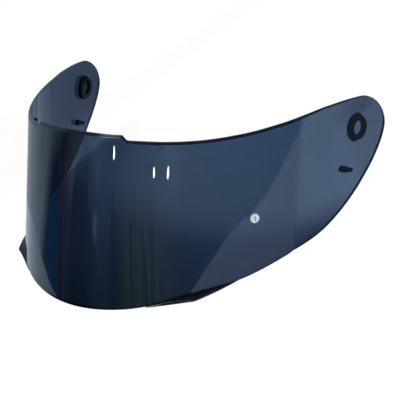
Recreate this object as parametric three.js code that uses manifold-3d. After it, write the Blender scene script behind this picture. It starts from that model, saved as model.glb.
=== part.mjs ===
// Face shield of a full-face motorcycle helmet: a thin curved polycarbonate shell
// with its pivot rings, stop lugs, lift tabs and the two eccentric pins that hold
// an anti-fog insert lens. Millimetres, +Z up, front of the shield towards -Y,
// +X is the wearer's left. The shield stands on its lower edge at z = 0.
import * as THREE from 'three';
import { mergeVertices } from 'three/addons/utils/BufferGeometryUtils.js';
import Module from 'manifold-3d';

const wasm = await Module();
wasm.setup();

// ---------------------------------------------------------------- dimensions
const THICKNESS = 2.2;          // shell wall
const TOP_BEVEL = 1.0;          // 45 degree bevel on the outside of the top edge
const ARM_BEVEL = 0.5;          // the same edge further back, on the arms
const LOW_BEVEL = 0.4;          // small break on the lower edge
const ARM_RECESS = 0.33;        // arm skin lies this much below the front skin
const ARM_LINE_S = 134;         // where that step starts on the lower edge
const ARM_LINE_SLANT = 28;      // how far back the step has moved at the top edge
const TIP_S = 233;              // arc length from the centre line to the arm tip
const FLOOR_Z = -50.2;          // lower edge, measured from the pivot height
const CENTRE_Y = 78.147;        // half way between the front and the arm tips

// curvature of the outer skin in plan, against arc length from the centre line
const CURVE_S = [0, 35, 70, 105, 140, 175, 210, 330];
const CURVE_K = [0.01334, 0.01188, 0.00737, 0.00523, 0.00445, 0.0022, 0.00276, 0.00276];
// lean of the skin: offset along the plan normal = A z + B z^2
const LEAN_S = [0, 70, 140, 220, 330];
const LEAN_A = [-0.42054, -0.3135, -0.13014, -0.08372, -0.08372];
const LEAN_B = [-0.00037, -0.00031, -0.0004, -0.00085, -0.00085];
const LEAN_WINDOW = 20;         // half width of the running mean that smooths the lean

// outline: height of the top and lower edge against arc length
const TOP = [[0, 49.78], [10, 49.63], [18, 49.43], [25, 49.2], [32, 48.77], [38, 48.3], [43.6, 47.85],
  [46.9, 44.95], [52.3, 44.05], [58.8, 43.07], [65.1, 41.95], [71.2, 40.88], [77.3, 39.83], [83.3, 38.8],
  [89.4, 37.83], [95.4, 36.87], [101.5, 36], [107.7, 35.15], [113.9, 34.4], [120.3, 33.55], [126.8, 32.8],
  [133.6, 32.05], [140.5, 31.35], [147.8, 30.5], [155.4, 29.7], [163.4, 28.9], [171.5, 28.05],
  [179.9, 27.15], [188.6, 25.75], [197.5, 24.2], [206.7, 22.2], [213.4, 20.45], [217.6, 19.1], [221.2, 17],
  [224.7, 14.3], [227.7, 11.2], [229.9, 8.2], [231.5, 5.2], [232.5, 2.4], [233, -0.4]];
const LOW = [[0, -50.2], [20, -50.1], [32, -49.9], [40, -49.5], [47, -48.8], [54, -48], [61, -47.45],
  [68, -47.3], [75, -47.55], [82, -48.2], [89, -49], [96, -49.8], [104, -50.1], [117, -50.2],
  [130.5, -50.2], [133, -49.85], [139, -50.15], [145, -50.15], [151.1, -50], [157.4, -49.4],
  [163.4, -48.35], [168.9, -47], [174.1, -45.4], [179.2, -43.7], [184.1, -41.85], [188.7, -39.9],
  [193.2, -37.85], [197.7, -35.65], [201.9, -33.35], [206, -31], [209.9, -28.65], [213.7, -26.25],
  [217.3, -23.65], [221, -20.9], [224.3, -18.1], [227.4, -15], [229.9, -12], [231.6, -9.3], [232.7, -6.7],
  [233, -4.4]];

// pivot ring on the inner face of each arm
const RING = { s: 208.5, z: 0.7, gap: 0.3, rSmall: 8.0, rBig: 9.4, bigFrom: 61, bigTo: 234, bore: 4.8, depth: 2.8 };
// stop lug below it
const LUG = { s: 191.3, z: -21.2, gap: 0.3, length: 11.6, thick: 4.4, thin: 3.2, tilt: -30, depth: 2.8 };
// lens pin
const PIN = {
  s: 113.2, z: -16.6, hole: 2.05,
  head: 2.75, headLow: 0.75, headTop: 1.7, headEdge: 0.35, neck: 1.7, neckLow: -1.8, socket: 1.05, socketTop: -0.2,
  slotLong: 3.6, slotWide: 0.7, slotDeep: 0.5,
  sealOuter: 3.0, sealInner: 2.0, sealLow: 0.2, sealTop: 0.55,
  flange: 2.9, flangeTop: -2.5, flangeLow: -3.0, spigot: 0.75, spigotTop: -0.5,
  eccentric: 0.6, collar: 2.0, collarLow: -4.0, cap: 2.9, capLow: -4.6,
};
// lift tab under the lower edge
const TAB = {
  inner: 2.0, gap: 0.3, floor: -50.05, undercut: 1.5, rimDrop: 1.0,
  reach: [[42, -0.5], [45, 0], [50, 0.45], [55, 1.35], [60, 2.6], [64, 3.8], [67.2, 4.95], [68.6, 4.85],
    [72, 3.95], [77.5, 2.7], [82, 1.7], [87, 0.6], [91, -0.2], [94.5, -0.9]],
};

// ---------------------------------------------------------------- curves
function linear(xs, ys, x) {
  if (x <= xs[0]) return ys[0];
  for (let i = 1; i < xs.length; i++) {
    if (x <= xs[i]) return ys[i - 1] + (ys[i] - ys[i - 1]) * (x - xs[i - 1]) / (xs[i] - xs[i - 1]);
  }
  return ys[ys.length - 1];
}

// monotone cubic through the given points, so the outline never overshoots
function monotone(points) {
  const n = points.length;
  const h = [], d = [], m = new Array(n).fill(0);
  for (let i = 0; i < n - 1; i++) {
    h.push(points[i + 1][0] - points[i][0]);
    d.push((points[i + 1][1] - points[i][1]) / h[i]);
  }
  for (let i = 1; i < n - 1; i++) {
    if (d[i - 1] * d[i] > 0) {
      const a = 2 * h[i] + h[i - 1], b = h[i] + 2 * h[i - 1];
      m[i] = (a + b) / (a / d[i - 1] + b / d[i]);
    }
  }
  m[0] = 0;
  m[n - 1] = d[n - 2];
  return (x) => {
    if (x <= points[0][0]) return points[0][1];
    if (x >= points[n - 1][0]) return points[n - 1][1];
    let i = 0;
    while (x > points[i + 1][0]) i++;
    const t = (x - points[i][0]) / h[i];
    const t2 = t * t, t3 = t2 * t;
    return (2 * t3 - 3 * t2 + 1) * points[i][1] + (t3 - 2 * t2 + t) * h[i] * m[i]
      + (3 * t2 - 2 * t3) * points[i + 1][1] + (t3 - t2) * h[i] * m[i + 1];
  };
}

const topEdge = monotone(TOP);
const lowEdge = monotone(LOW);
const tabReach = monotone(TAB.reach);
const smooth = (t) => { const c = Math.min(1, Math.max(0, t)); return c * c * (3 - 2 * c); };

// plan curve sampled every millimetre
const SAMPLES = 330;
const plan = { x: [0], y: [0], psi: [0], a: [], b: [] };
for (let i = 1; i <= SAMPLES; i++) {
  const k0 = linear(CURVE_S, CURVE_K, i - 1), k1 = linear(CURVE_S, CURVE_K, i);
  const psi = plan.psi[i - 1] + (k0 + k1) / 2;
  plan.psi.push(psi);
  plan.x.push(plan.x[i - 1] + (Math.cos(psi) + Math.cos(plan.psi[i - 1])) / 2);
  plan.y.push(plan.y[i - 1] + (Math.sin(psi) + Math.sin(plan.psi[i - 1])) / 2);
}
for (let i = 0; i <= SAMPLES; i++) {
  let a = 0, b = 0;
  for (let j = -LEAN_WINDOW; j <= LEAN_WINDOW; j++) {
    const s = Math.min(SAMPLES, Math.abs(i + j));
    a += linear(LEAN_S, LEAN_A, s);
    b += linear(LEAN_S, LEAN_B, s);
  }
  plan.a.push(a / (2 * LEAN_WINDOW + 1));
  plan.b.push(b / (2 * LEAN_WINDOW + 1));
}
function sample(list, s) {
  const c = Math.min(SAMPLES - 1e-9, Math.max(0, s));
  const i = Math.floor(c);
  return list[i] + (list[i + 1] - list[i]) * (c - i);
}

// point of the shell: arc length s (negative on the wearer's right), height z
// from the pivot, depth below the outer skin
function skin(s, z, depth = 0) {
  const q = Math.abs(s), sign = s < 0 ? -1 : 1;
  const psi = sample(plan.psi, q);
  const e = sample(plan.a, q) * z + sample(plan.b, q) * z * z - depth;
  return new THREE.Vector3(
    sign * (sample(plan.x, q) + Math.sin(psi) * e),
    sample(plan.y, q) - Math.cos(psi) * e - CENTRE_Y,
    z - FLOOR_Z);
}

// local frame on the wearer's left: x along the arc, y up the skin, z outwards
function skinFrame(s, z) {
  const along = skin(s + 1, z).sub(skin(s - 1, z)).normalize();
  const up = skin(s, z + 1).sub(skin(s, z - 1)).normalize();
  const out = new THREE.Vector3().crossVectors(along, up).normalize();
  if (out.x < 0) out.negate();
  const upward = new THREE.Vector3().crossVectors(out, along).normalize();
  return { origin: skin(s, z), along, up: upward, out };
}

// ---------------------------------------------------------------- solids
function toManifold(geometry) {
  const g = geometry.clone();
  for (const name of Object.keys(g.attributes)) if (name !== 'position') g.deleteAttribute(name);
  const merged = mergeVertices(g, 1e-4);
  const index = Uint32Array.from(merged.index.array);
  return new wasm.Manifold(new wasm.Mesh({
    numProp: 3,
    vertProperties: Float32Array.from(merged.attributes.position.array),
    triVerts: index,
  }));
}

function fromManifold(solid) {
  const mesh = solid.getMesh();
  const geometry = new THREE.BufferGeometry();
  geometry.setAttribute('position', new THREE.BufferAttribute(Float32Array.from(mesh.vertProperties), 3));
  geometry.setIndex(new THREE.BufferAttribute(Uint32Array.from(mesh.triVerts), 1));
  geometry.computeVertexNormals();
  return geometry;
}

// closed solid from equal rings of points, capped at both ends by joining the
// outer and inner halves of the ring
function loft(rings, capPairs) {
  const count = rings[0].length;
  const positions = [];
  for (const ring of rings) for (const p of ring) positions.push(p.x, p.y, p.z);
  const index = [];
  for (let i = 0; i < rings.length - 1; i++) {
    for (let j = 0; j < count; j++) {
      const k = (j + 1) % count;
      const a = i * count + j, b = i * count + k, c = a + count, d = b + count;
      index.push(a, b, c, b, d, c);
    }
  }
  const cap = (base, flip) => {
    for (const [a, b, c] of capPairs) {
      if (flip) index.push(base + a, base + c, base + b);
      else index.push(base + a, base + b, base + c);
    }
  };
  cap(0, true);
  cap((rings.length - 1) * count, false);
  const geometry = new THREE.BufferGeometry();
  geometry.setAttribute('position', new THREE.Float32BufferAttribute(positions, 3));
  geometry.setIndex(index);
  return outward(geometry);
}

// turns the faces out when the signed volume is negative
function outward(geometry) {
  const p = geometry.attributes.position, index = geometry.index;
  let volume = 0;
  const a = new THREE.Vector3(), b = new THREE.Vector3(), c = new THREE.Vector3();
  for (let i = 0; i < index.count; i += 3) {
    a.fromBufferAttribute(p, index.getX(i));
    b.fromBufferAttribute(p, index.getX(i + 1));
    c.fromBufferAttribute(p, index.getX(i + 2));
    volume += a.dot(b.cross(c)) / 6;
  }
  if (volume < 0) {
    for (let i = 0; i < index.count; i += 3) {
      const t = index.getX(i + 1);
      index.setX(i + 1, index.getX(i + 2));
      index.setX(i + 2, t);
    }
  }
  geometry.computeVertexNormals();
  return geometry;
}

function mirrored(geometry) {
  const g = geometry.index ? geometry.clone() : mergeVertices(geometry);
  g.scale(-1, 1, 1);
  return outward(g);
}

function extrude(shape, depth, segments = 24) {
  return new THREE.ExtrudeGeometry(shape, { depth, bevelEnabled: false, curveSegments: segments });
}

function turned(profile, segments) {
  // profile: [radius, height] pairs from the axis back to the axis; axis along z
  const g = new THREE.LatheGeometry(profile.map(([r, h]) => new THREE.Vector2(r, h)), segments);
  g.rotateX(Math.PI / 2);
  return g;
}

// ---------------------------------------------------------------- shell
function shellGeometry() {
  const right = [0, 5, 10, 15, 20, 25, 30, 35, 39.5, 43.6, 45.3, 46.9, 51, 56, 61, 66, 71, 76, 81, 86, 92, 98,
    104, 110, 117, 124, 130.5, 132, 133.7, 134.3, 140, 147, 154, 162, 170, 178, 186, 193, 200, 206, 211.5, 216,
    220, 223.4, 226.3, 228.6, 230.4, 231.6, TIP_S];
  const stations = [...right.slice(1).map((s) => -s).reverse(), ...right];
  const ROWS = 9;
  const rings = stations.map((signed) => {
    const u = Math.abs(signed), sign = signed < 0 ? -1 : 1;
    const shift = u < ARM_LINE_S
      ? smooth((u - 50) / (ARM_LINE_S - 50))
      : 1 - smooth((u - ARM_LINE_S) / (226 - ARM_LINE_S));
    const sAt = (v) => u + ARM_LINE_SLANT * shift * v;
    const outer = u > ARM_LINE_S ? ARM_RECESS : 0;
    const low = lowEdge(sAt(0)), top = topEdge(sAt(1)), height = top - low;
    const bevel = TOP_BEVEL + (ARM_BEVEL - TOP_BEVEL) * smooth((u - 125) / 30);
    const v0 = LOW_BEVEL / height, v1 = 1 - bevel / height;
    const at = (v, depth) => skin(sign * sAt(v), low + height * v, depth);
    const ring = [];
    for (let j = 0; j <= ROWS; j++) ring.push(at(v0 + (v1 - v0) * j / ROWS, outer));
    ring.push(at(1, outer + Math.min(bevel, THICKNESS - outer - 0.5)));
    for (let j = ROWS; j >= 0; j--) ring.push(at(j / ROWS, THICKNESS));
    ring.push(at(0, outer + LOW_BEVEL));
    return ring;
  });
  // ring: 0..ROWS outer, ROWS+1 top edge, ROWS+2..2ROWS+2 inner from the top, 2ROWS+3 lower edge
  const caps = [];
  const inner = (j) => 2 * ROWS + 2 - j;
  for (let j = 0; j < ROWS; j++) {
    caps.push([j, inner(j), j + 1], [j + 1, inner(j), inner(j + 1)]);
  }
  caps.push([ROWS, inner(ROWS), ROWS + 1], [0, 2 * ROWS + 3, inner(0)]);
  const flipped = caps.map(([a, b, c]) => [a, c, b]);
  return loft(rings, flipped);
}

function pinHole(side) {
  const f = skinFrame(PIN.s, PIN.z);
  const g = new THREE.CylinderGeometry(PIN.hole, PIN.hole, 8, 28);
  g.rotateX(Math.PI / 2);
  place(g, f);
  return side < 0 ? mirrored(g) : g;
}

function place(geometry, frame) {
  const m = new THREE.Matrix4().makeBasis(frame.along, frame.up, frame.out);
  m.setPosition(frame.origin);
  geometry.applyMatrix4(m);
  return geometry;
}

// ---------------------------------------------------------------- small pieces, drawn for the wearer's left
// inner face of the arm is at THICKNESS below the outer skin; z is outwards
function ringGeometry() {
  const shape = new THREE.Shape();
  const from = THREE.MathUtils.degToRad(RING.bigFrom), to = THREE.MathUtils.degToRad(RING.bigTo);
  const steps = 20;
  for (let i = 0; i <= steps; i++) {
    const t = from + (to - from) * i / steps;
    const p = [RING.rBig * Math.cos(t), RING.rBig * Math.sin(t)];
    if (i === 0) shape.moveTo(...p); else shape.lineTo(...p);
  }
  for (let i = 0; i <= steps + 8; i++) {
    const t = to + (from + 2 * Math.PI - to) * i / (steps + 8);
    shape.lineTo(RING.rSmall * Math.cos(t), RING.rSmall * Math.sin(t));
  }
  shape.closePath();
  const hole = new THREE.Path();
  hole.absarc(0, 0, RING.bore, 0, Math.PI * 2, true);
  shape.holes.push(hole);
  const g = extrude(shape, RING.depth, 14);
  g.translate(0, 0, -(THICKNESS + RING.gap + RING.depth));
  return g;
}

function lugGeometry() {
  const L = LUG.length, A = LUG.thick / 2, B = LUG.thin / 2;
  const shape = new THREE.Shape();
  const steps = 8;
  // thick rounded end towards the front, thin rounded end towards the tip
  for (let i = 0; i <= steps; i++) {
    const t = Math.PI / 2 + Math.PI * i / steps;
    const p = [-L / 2 + A + A * Math.cos(t), A * Math.sin(t)];
    if (i === 0) shape.moveTo(...p); else shape.lineTo(...p);
  }
  shape.lineTo(-L / 8, -A);
  shape.lineTo(0, -B);
  for (let i = 0; i <= steps; i++) {
    const t = -Math.PI / 2 + Math.PI * i / steps;
    shape.lineTo(L / 2 - B + B * Math.cos(t), B * Math.sin(t));
  }
  shape.lineTo(0, B);
  shape.lineTo(-L / 8, A);
  shape.closePath();
  const g = extrude(shape, LUG.depth);
  g.rotateZ(THREE.MathUtils.degToRad(LUG.tilt));
  g.translate(0, 0, -(THICKNESS + LUG.gap + LUG.depth));
  return g;
}

function tabGeometry() {
  const stations = [42, 45, 48, 51, 54, 57, 60, 63, 65.4, 67.2, 68.6, 71, 74, 77.5, 81, 84.5, 88, 91, 94.5];
  const rings = stations.map((s) => {
    const low = lowEdge(s), reach = tabReach(s);
    const rim = low - TAB.gap * (reach > TAB.gap ? 0 : 1) - TAB.rimDrop * Math.max(0, reach) / 5;
    const step = Math.max(reach, -1.2);
    const root = step > TAB.gap + 0.15 ? TAB.gap : step - 0.15;
    return [
      skin(s, TAB.floor, TAB.inner),
      skin(s, low - TAB.gap, TAB.inner),
      skin(s, low - TAB.gap, -root),
      skin(s, step > TAB.gap + 0.15 ? low + 0.02 : low - TAB.gap - 0.02, -root - 0.02),
      skin(s, step > TAB.gap + 0.15 ? rim : low - TAB.gap - 0.12, -step),
      skin(s, TAB.floor, -(step - TAB.undercut * Math.max(0, step) / 5)),
    ];
  });
  return loft(rings, [[0, 1, 2], [0, 2, 3], [0, 3, 4], [0, 4, 5]]);
}

function pinHeadGeometry() {
  const e = PIN.headEdge;
  const body = toManifold(turned([
    [0, PIN.socketTop], [PIN.socket, PIN.socketTop], [PIN.socket, PIN.neckLow], [PIN.neck, PIN.neckLow],
    [PIN.neck, PIN.headLow], [PIN.head, PIN.headLow], [PIN.head, PIN.headTop - e], [PIN.head - e, PIN.headTop],
    [0, PIN.headTop]], 24));
  const slot = new THREE.BoxGeometry(PIN.slotWide, PIN.slotLong, PIN.slotDeep * 2);
  slot.translate(0, 0, PIN.headTop);
  return fromManifold(body.subtract(toManifold(slot)));
}

function pinSealGeometry() {
  return turned([
    [PIN.sealInner, PIN.sealLow], [PIN.sealOuter, PIN.sealLow], [PIN.sealOuter, PIN.sealTop],
    [PIN.sealInner, PIN.sealTop], [PIN.sealInner, PIN.sealLow]], 24);
}

function pinStudGeometry() {
  const base = toManifold(turned([
    [0, PIN.flangeLow], [PIN.flange, PIN.flangeLow], [PIN.flange, PIN.flangeTop], [PIN.spigot, PIN.flangeTop],
    [PIN.spigot, PIN.spigotTop], [0, PIN.spigotTop]], 24));
  const cam = turned([
    [0, PIN.capLow], [PIN.cap - 0.4, PIN.capLow], [PIN.cap, PIN.capLow + 0.4], [PIN.cap, PIN.collarLow],
    [PIN.collar, PIN.collarLow], [PIN.collar, PIN.flangeLow + 0.2], [0, PIN.flangeLow + 0.2]], 24);
  cam.translate(0, PIN.eccentric, 0);
  return fromManifold(base.add(toManifold(cam)));
}

// ---------------------------------------------------------------- materials
const smokePolycarbonate = () => new THREE.MeshStandardMaterial({
  color: 0x2c3a4d, roughness: 0.05, metalness: 0, transparent: true, opacity: 0.78 });
const blackNylon = () => new THREE.MeshStandardMaterial({ color: 0x0c0d10, roughness: 0.45, metalness: 0 });
const glossBlack = () => new THREE.MeshStandardMaterial({ color: 0x07090e, roughness: 0.15, metalness: 0 });
const clearNylon = () => new THREE.MeshStandardMaterial({ color: 0xb4c0cc, roughness: 0.3, metalness: 0 });
const silicone = () => new THREE.MeshStandardMaterial({ color: 0x97a4b0, roughness: 0.6, metalness: 0 });

// ---------------------------------------------------------------- assembly
const group = new THREE.Group();

function addPiece(name, geometry, material, parent = group) {
  const mesh = new THREE.Mesh(geometry, material);
  mesh.name = name;
  parent.add(mesh);
  return mesh;
}

// a piece drawn in its local frame goes to both sides of the shield
function addPair(name, s, z, make, material) {
  const f = skinFrame(s, z);
  for (const side of [1, -1]) {
    const seat = new THREE.Group();
    const basis = side > 0
      ? new THREE.Matrix4().makeBasis(f.along, f.up, f.out)
      : new THREE.Matrix4().makeBasis(
        new THREE.Vector3(f.along.x, -f.along.y, -f.along.z),
        new THREE.Vector3(-f.up.x, f.up.y, f.up.z),
        new THREE.Vector3(-f.out.x, f.out.y, f.out.z));
    seat.quaternion.setFromRotationMatrix(basis);
    seat.position.set(side * f.origin.x, f.origin.y, f.origin.z);
    group.add(seat);
    addPiece(`${name}_${side > 0 ? 'left' : 'right'}`, side > 0 ? make() : mirrored(make()), material(), seat);
  }
}

const shell = toManifold(shellGeometry())
  .subtract(toManifold(pinHole(1)))
  .subtract(toManifold(pinHole(-1)));
addPiece('shield_shell', fromManifold(shell), smokePolycarbonate());

addPair('pivot_ring', RING.s, RING.z, ringGeometry, blackNylon);
addPair('stop_lug', LUG.s, LUG.z, lugGeometry, blackNylon);

const tab = tabGeometry();
addPiece('lift_tab_left', tab, glossBlack());
addPiece('lift_tab_right', mirrored(tab), glossBlack());

addPair('lens_pin_head', PIN.s, PIN.z, pinHeadGeometry, clearNylon);
addPair('lens_pin_seal', PIN.s, PIN.z, pinSealGeometry, silicone);
addPair('lens_pin_stud', PIN.s, PIN.z, pinStudGeometry, clearNylon);

export default group;
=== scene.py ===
"""Looks of a tinted full-face helmet shield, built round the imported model.

The shell is a fine mesh made from the same curves as the solid one; rings, lugs,
tabs and lens pins are redrawn with rounded edges. Lengths below are millimetres
until they reach a mesh.
"""
import math

import bmesh
import bpy
import numpy as np
from mathutils import Matrix, Vector


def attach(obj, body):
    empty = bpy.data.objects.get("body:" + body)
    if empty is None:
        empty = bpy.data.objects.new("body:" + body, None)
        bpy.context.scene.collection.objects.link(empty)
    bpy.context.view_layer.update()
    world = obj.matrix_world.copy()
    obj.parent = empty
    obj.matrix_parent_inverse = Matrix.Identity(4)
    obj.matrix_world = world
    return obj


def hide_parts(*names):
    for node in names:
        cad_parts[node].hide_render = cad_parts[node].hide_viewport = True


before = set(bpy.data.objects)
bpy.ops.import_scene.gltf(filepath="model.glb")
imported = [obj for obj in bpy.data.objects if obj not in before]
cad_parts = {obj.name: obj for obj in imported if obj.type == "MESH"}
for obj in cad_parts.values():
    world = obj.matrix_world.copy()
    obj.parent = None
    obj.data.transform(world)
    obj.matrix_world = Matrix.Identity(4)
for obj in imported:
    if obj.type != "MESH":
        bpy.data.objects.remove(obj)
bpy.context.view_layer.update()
MM = 0.001

# ------------------------------------------------------------------ camera
BACK = Vector((0.54759, -0.65510, 0.52057)).normalized()
LEVEL = Vector((0.76726, 0.64134, 0.0)).normalized()
LIFT = BACK.cross(LEVEL)
ROLL = math.radians(-11.26471)
RIGHT = LEVEL * math.cos(ROLL) + LIFT * math.sin(ROLL)
UP = LIFT * math.cos(ROLL) - LEVEL * math.sin(ROLL)
EYE = Vector((0.358139, -0.383172, 0.328870))

camera_data = bpy.data.cameras.new("camera")
camera_data.sensor_width = 36.0
camera_data.lens = 81.27
camera_data.clip_start = 0.01
camera_data.clip_end = 50.0
camera = bpy.data.objects.new("camera", camera_data)
bpy.context.scene.collection.objects.link(camera)
camera.matrix_world = Matrix((
    (RIGHT.x, UP.x, BACK.x, EYE.x),
    (RIGHT.y, UP.y, BACK.y, EYE.y),
    (RIGHT.z, UP.z, BACK.z, EYE.z),
    (0, 0, 0, 1)))
bpy.context.scene.camera = camera

# ------------------------------------------------------------------ dimensions of the shell
THICKNESS = 2.2
TOP_BEVEL = 1.0
ARM_BEVEL = 0.5
LOW_BEVEL = 0.4
ARM_RECESS = 0.33
ARM_LINE_S = 134.0
ARM_LINE_SLANT = 28.0
TIP_S = 233.0
FLOOR_Z = -50.2
CENTRE_Y = 78.147
CURVE_S = [0, 35, 70, 105, 140, 175, 210, 330]
CURVE_K = [0.01334, 0.01188, 0.00737, 0.00523, 0.00445, 0.0022, 0.00276, 0.00276]
LEAN_S = [0, 70, 140, 220, 330]
LEAN_A = [-0.42054, -0.3135, -0.13014, -0.08372, -0.08372]
LEAN_B = [-0.00037, -0.00031, -0.0004, -0.00085, -0.00085]
LEAN_WINDOW = 20
TOP = [(0, 49.78), (10, 49.63), (18, 49.43), (25, 49.2), (32, 48.77), (38, 48.3), (43.6, 47.85),
       (46.9, 44.95), (52.3, 44.05), (58.8, 43.07), (65.1, 41.95), (71.2, 40.88), (77.3, 39.83),
       (83.3, 38.8), (89.4, 37.83), (95.4, 36.87), (101.5, 36), (107.7, 35.15), (113.9, 34.4),
       (120.3, 33.55), (126.8, 32.8), (133.6, 32.05), (140.5, 31.35), (147.8, 30.5), (155.4, 29.7),
       (163.4, 28.9), (171.5, 28.05), (179.9, 27.15), (188.6, 25.75), (197.5, 24.2), (206.7, 22.2),
       (213.4, 20.45), (217.6, 19.1), (221.2, 17), (224.7, 14.3), (227.7, 11.2), (229.9, 8.2), (231.5, 5.2),
       (232.5, 2.4), (233, -0.4)]
LOW = [(0, -50.2), (20, -50.1), (32, -49.9), (40, -49.5), (47, -48.8), (54, -48), (61, -47.45), (68, -47.3),
       (75, -47.55), (82, -48.2), (89, -49), (96, -49.8), (104, -50.1), (117, -50.2), (130.5, -50.2),
       (133, -49.85), (139, -50.15), (145, -50.15), (151.1, -50), (157.4, -49.4), (163.4, -48.35),
       (168.9, -47), (174.1, -45.4), (179.2, -43.7), (184.1, -41.85), (188.7, -39.9), (193.2, -37.85),
       (197.7, -35.65), (201.9, -33.35), (206, -31), (209.9, -28.65), (213.7, -26.25), (217.3, -23.65),
       (221, -20.9), (224.3, -18.1), (227.4, -15), (229.9, -12), (231.6, -9.3), (232.7, -6.7), (233, -4.4)]
RING = dict(s=208.5, z=0.7, gap=0.3, small=8.0, big=9.4, start=61, end=234, bore=4.8, depth=2.8)
LUG = dict(s=191.3, z=-21.2, gap=0.3, length=11.6, thick=4.4, thin=3.2, tilt=-30, depth=2.8)
PIN = dict(s=113.2, z=-16.6, hole=2.05, head=2.75, head_low=0.75, head_top=1.7, neck=1.7, neck_low=-1.8,
           socket=1.05, socket_top=-0.2, slot_long=3.6, slot_wide=0.7, slot_deep=0.5,
           seal_outer=3.0, seal_inner=2.0, seal_low=0.2, seal_top=0.55,
           flange=2.9, flange_top=-2.5, flange_low=-3.0, spigot=0.75, spigot_top=-0.5,
           eccentric=0.6, collar=2.0, collar_low=-4.0, cap=2.9, cap_low=-4.6)
TAB = dict(inner=2.0, gap=0.3, floor=-50.05, undercut=1.5, drop=1.0)
REACH = [(42, -0.5), (45, 0), (50, 0.45), (55, 1.35), (60, 2.6), (64, 3.8), (67.2, 4.95), (68.6, 4.85),
         (72, 3.95), (77.5, 2.7), (82, 1.7), (87, 0.6), (91, -0.2), (94.5, -0.9)]


# ------------------------------------------------------------------ curves
def monotone(points):
    """Cubic through the points that never overshoots them."""
    xs = [float(p[0]) for p in points]
    ys = [float(p[1]) for p in points]
    n = len(xs)
    h = [xs[i + 1] - xs[i] for i in range(n - 1)]
    d = [(ys[i + 1] - ys[i]) / h[i] for i in range(n - 1)]
    m = [0.0] * n
    for i in range(1, n - 1):
        if d[i - 1] * d[i] > 0:
            a, b = 2 * h[i] + h[i - 1], h[i] + 2 * h[i - 1]
            m[i] = (a + b) / (a / d[i - 1] + b / d[i])
    m[n - 1] = d[n - 2]

    def at(x):
        if x <= xs[0]:
            return ys[0]
        if x >= xs[-1]:
            return ys[-1]
        i = 0
        while x > xs[i + 1]:
            i += 1
        t = (x - xs[i]) / h[i]
        t2, t3 = t * t, t * t * t
        return ((2 * t3 - 3 * t2 + 1) * ys[i] + (t3 - 2 * t2 + t) * h[i] * m[i]
                + (3 * t2 - 2 * t3) * ys[i + 1] + (t3 - t2) * h[i] * m[i + 1])
    return at


top_edge = monotone(TOP)
low_edge = monotone(LOW)
tab_reach = monotone(REACH)


def smooth(t):
    t = min(1.0, max(0.0, t))
    return t * t * (3 - 2 * t)


SAMPLES = 330
GRID = np.arange(SAMPLES + 1)
_k = np.interp(GRID, CURVE_S, CURVE_K)
PSI = np.concatenate([[0], np.cumsum((_k[1:] + _k[:-1]) / 2)])
PLAN_X = np.concatenate([[0], np.cumsum((np.cos(PSI[1:]) + np.cos(PSI[:-1])) / 2)])
PLAN_Y = np.concatenate([[0], np.cumsum((np.sin(PSI[1:]) + np.sin(PSI[:-1])) / 2)])
_near = np.minimum(SAMPLES, np.abs(GRID[:, None] + np.arange(-LEAN_WINDOW, LEAN_WINDOW + 1)[None, :]))
PLAN_A = np.interp(_near, LEAN_S, LEAN_A).mean(1)
PLAN_B = np.interp(_near, LEAN_S, LEAN_B).mean(1)


def skin(s, z, depth=0.0):
    """Points of the shell in mm: arc length s, height z from the pivot, depth below the outer skin."""
    s, z, depth = np.broadcast_arrays(np.asarray(s, float), np.asarray(z, float), np.asarray(depth, float))
    q = np.clip(np.abs(s), 0, SAMPLES - 1e-9)
    sign = np.where(s < 0, -1.0, 1.0)
    psi = np.interp(q, GRID, PSI)
    e = np.interp(q, GRID, PLAN_A) * z + np.interp(q, GRID, PLAN_B) * z * z - depth
    return np.stack([
        sign * (np.interp(q, GRID, PLAN_X) + np.sin(psi) * e),
        np.interp(q, GRID, PLAN_Y) - np.cos(psi) * e - CENTRE_Y,
        z - FLOOR_Z], -1)


def unit(v):
    return v / np.maximum(np.linalg.norm(v, axis=-1, keepdims=True), 1e-12)


def skin_out(s, z, depth=0.0):
    """Outward direction of the skin."""
    s, z, depth = np.broadcast_arrays(np.asarray(s, float), np.asarray(z, float), np.asarray(depth, float))
    along = skin(s + 0.5, z, depth) - skin(s - 0.5, z, depth)
    rise = skin(s, z + 0.5, depth) - skin(s, z - 0.5, depth)
    return unit(np.cross(along, rise))


def skin_frame(s, z):
    """Origin and axes of a local frame on the wearer's left, as the solid model has it."""
    along = unit(skin(s + 1, z) - skin(s - 1, z))
    rise = unit(skin(s, z + 1) - skin(s, z - 1))
    out = unit(np.cross(along, rise))
    return skin(s, z), along, unit(np.cross(out, along)), out


# ------------------------------------------------------------------ mesh helper
class Builder:
    """Collects points, faces, a normal for each face corner and a wall thickness for each point."""

    def __init__(self):
        self.points, self.wall, self.faces, self.normals, self.slots = [], [], [], [], []

    def add(self, p, wall=1.0):
        self.points.append(tuple(float(c) for c in p))
        self.wall.append(float(wall))
        return len(self.points) - 1

    def face(self, ids, normals, slot=0):
        self.faces.append(tuple(ids))
        self.normals.append([tuple(float(c) for c in n) for n in normals])
        self.slots.append(slot)

    def mesh(self, name, mirror=False):
        flip = -1.0 if mirror else 1.0
        mesh = bpy.data.meshes.new(name)
        faces = [f[::-1] if mirror else f for f in self.faces]
        normals = [n[::-1] if mirror else n for n in self.normals]
        mesh.from_pydata([(flip * x * MM, y * MM, z * MM) for x, y, z in self.points], [], faces)
        mesh.polygons.foreach_set("material_index", self.slots)
        mesh.polygons.foreach_set("use_smooth", [True] * len(faces))
        mesh.update()
        mesh.normals_split_custom_set([(flip * x, y, z) for n in normals for x, y, z in n])
        wall = mesh.attributes.new("wall", "FLOAT", "POINT")
        wall.data.foreach_set("value", self.wall)
        return mesh


def show(name, mesh, body, nodes, materials):
    piece = bpy.data.objects.new(name, mesh)
    bpy.context.scene.collection.objects.link(piece)
    for m in materials:
        mesh.materials.append(m)
    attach(piece, body)
    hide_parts(*nodes)
    return piece


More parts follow.
